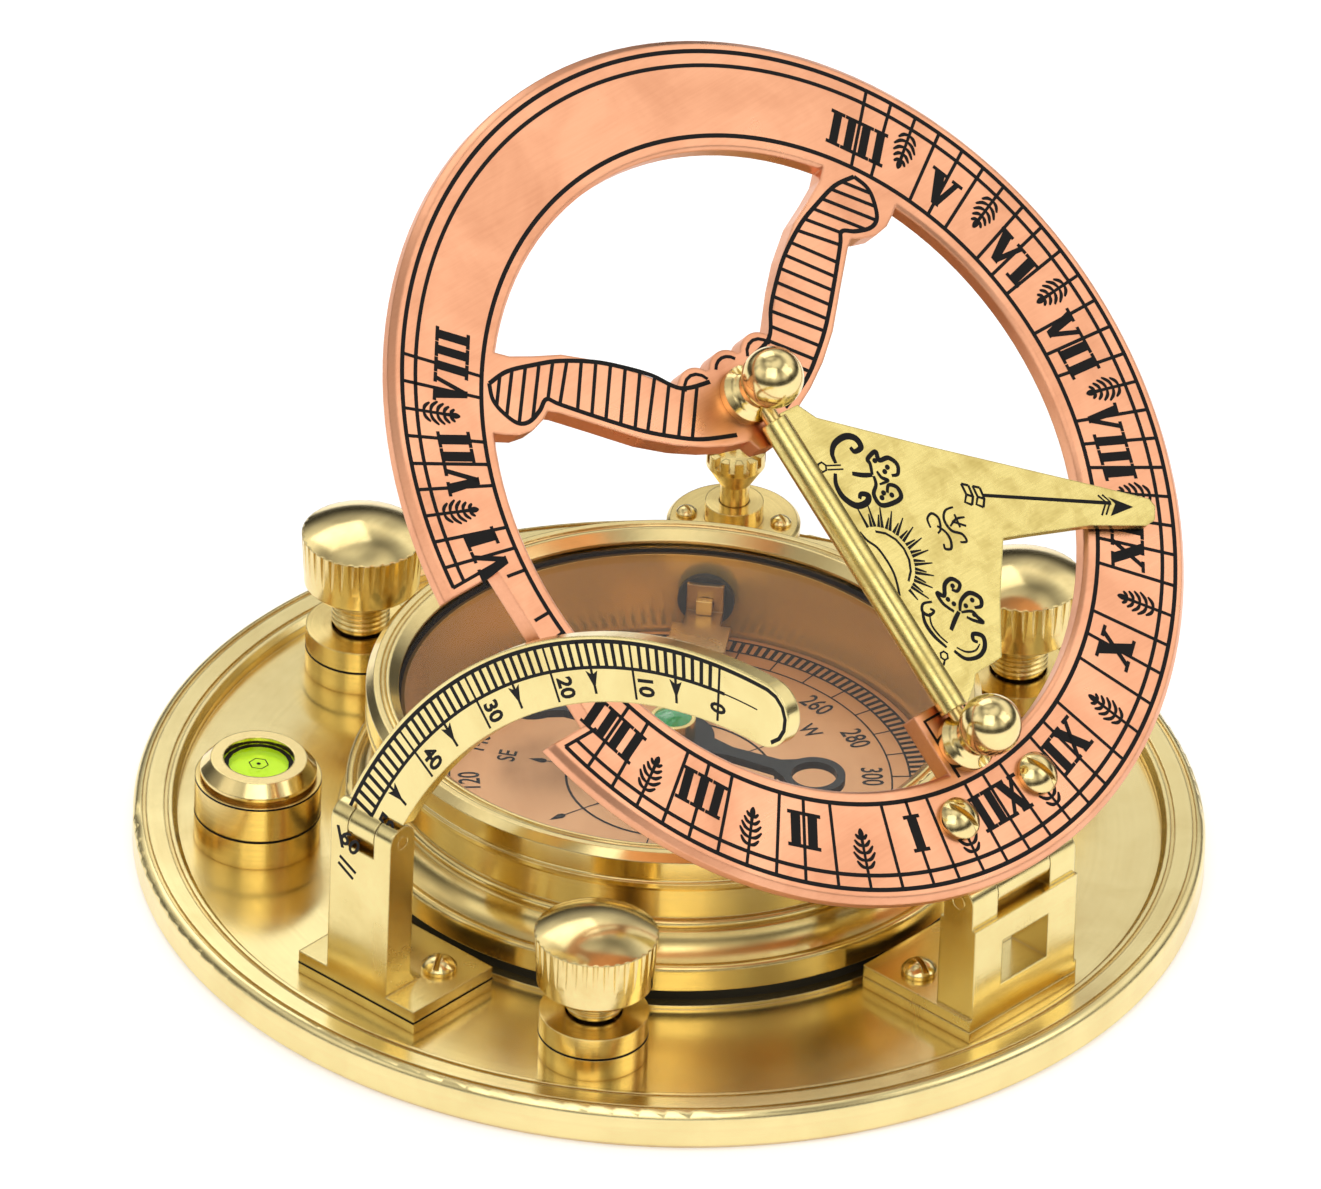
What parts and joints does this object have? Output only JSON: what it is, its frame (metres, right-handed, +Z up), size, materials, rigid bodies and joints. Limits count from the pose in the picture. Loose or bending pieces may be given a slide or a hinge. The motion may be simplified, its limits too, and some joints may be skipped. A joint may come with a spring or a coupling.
{
  "type": "sundial compass",
  "caption": "Brass sundial compass: magnetic compass under a tilting copper hour ring with a folding gnomon, a latitude arc, a spirit level and levelling screws.",
  "frame": {"origin": "centre of the base's underside", "axes": "+Z up; the hour ring is hinged at -Y, the latitude arc stands at -X and the folded gnomon points to +X"},
  "size_m": [0.127, 0.127, 0.0973],
  "materials": {
    "brass_deck": "polished with fine turning marks",
    "brass_turned": "turned and polished",
    "brass_bright": "polished",
    "brass_etched": "brushed and engraved",
    "copper_ring": "copper-washed, brushed and engraved",
    "copper_card": "copper-washed, printed",
    "gasket_black": "matt",
    "needle_black": "black enamel",
    "jewel_green": "glossy",
    "washer_black": "matt",
    "crystal": "polished",
    "level_glass": "polished",
    "level_fluid": "clear green fluid"
  },
  "bodies": {
    "base": {"base_plate": "brass_deck", "box_gasket": "gasket_black", "box_screw": "brass_turned", "compass_box": "brass_turned", "bezel_ring": "brass_bright", "box_glass": "crystal", "dial_card": "copper_card", "pivot_pin": "brass_turned", "level_base": "brass_turned", "level_cup": "brass_turned", "level_bezel": "brass_bright", "level_lens": "level_glass", "level_liquid": "level_fluid", "screw_collar_1": "brass_turned", "screw_collar_2": "brass_turned", "screw_collar_3": "brass_turned", "lock_ring_1": "brass_turned", "lock_ring_2": "brass_turned", "lock_ring_3": "brass_turned", "rest_pedestal": "brass_turned", "rest_pillar": "brass_turned", "rest_screws": "brass_bright", "arc_packing": "brass_etched", "arc_bracket": "brass_etched", "arc_screws": "brass_bright", "arc_pin": "brass_turned", "hinge_packing": "brass_etched", "hinge_block": "brass_etched", "hinge_screws": "brass_bright", "ring_pin": "brass_turned"},
    "hour_ring": {"ring_leaf": "brass_etched", "ring_screws": "brass_bright", "dial_ring": "copper_ring", "post_centre": "brass_turned", "post_tab": "brass_turned", "gnomon_rod": "brass_turned"},
    "gnomon": {"gnomon_plate": "brass_etched"},
    "latitude_arc": {"latitude_arc": "brass_etched"},
    "needle": {"needle": "needle_black", "needle_cap": "brass_turned", "needle_jewel": "jewel_green"},
    "lifter": {"lift_lever": "brass_etched", "lift_washer": "washer_black", "lift_knob": "brass_turned"},
    "levelling_screw_1": {"screw_stem_1": "brass_turned", "screw_head_1": "brass_bright"},
    "levelling_screw_2": {"screw_stem_2": "brass_turned", "screw_head_2": "brass_bright"},
    "levelling_screw_3": {"screw_stem_3": "brass_turned", "screw_head_3": "brass_bright"}
  },
  "joints": [
    {"name": "ring_tilt", "type": "hinge", "parent": "base", "child": "hour_ring", "pos_m": [0, -0.0535, 0.0222], "axis": [1, 0, 0], "range_deg": [-41.6, 18.4]},
    {"name": "gnomon_fold", "type": "hinge", "parent": "hour_ring", "child": "gnomon", "pos_m": [0, -0.01827, 0.0631], "axis": [0, -0.7478, -0.6639], "range_deg": [0, 94.5]},
    {"name": "arc_fold", "type": "hinge", "parent": "base", "child": "latitude_arc", "pos_m": [-0.052, 0.0003, 0.0276], "axis": [0, 1, 0], "range_deg": [-90, 0]},
    {"name": "needle_spin", "type": "hinge", "parent": "base", "child": "needle", "pos_m": [0, 0, 0.0146], "axis": [0, 0, 1], "continuous": true},
    {"name": "needle_lift", "type": "slide", "parent": "base", "child": "lifter", "axis": [0, 0, 1], "range_m": [0, 0.0006]},
    {"name": "level_turn_1", "type": "hinge", "parent": "base", "child": "levelling_screw_1", "pos_m": [-0.00128, 0.04898, 0.0153], "axis": [0, 0, 1], "range_deg": [-1080, 360]},
    {"name": "level_turn_2", "type": "hinge", "parent": "base", "child": "levelling_screw_2", "pos_m": [-0.04155, -0.02597, 0.0153], "axis": [0, 0, 1], "range_deg": [-1080, 360]},
    {"name": "level_turn_3", "type": "hinge", "parent": "base", "child": "levelling_screw_3", "pos_m": [0.04733, -0.01268, 0.0153], "axis": [0, 0, 1], "range_deg": [-1080, 360]}
  ]
}
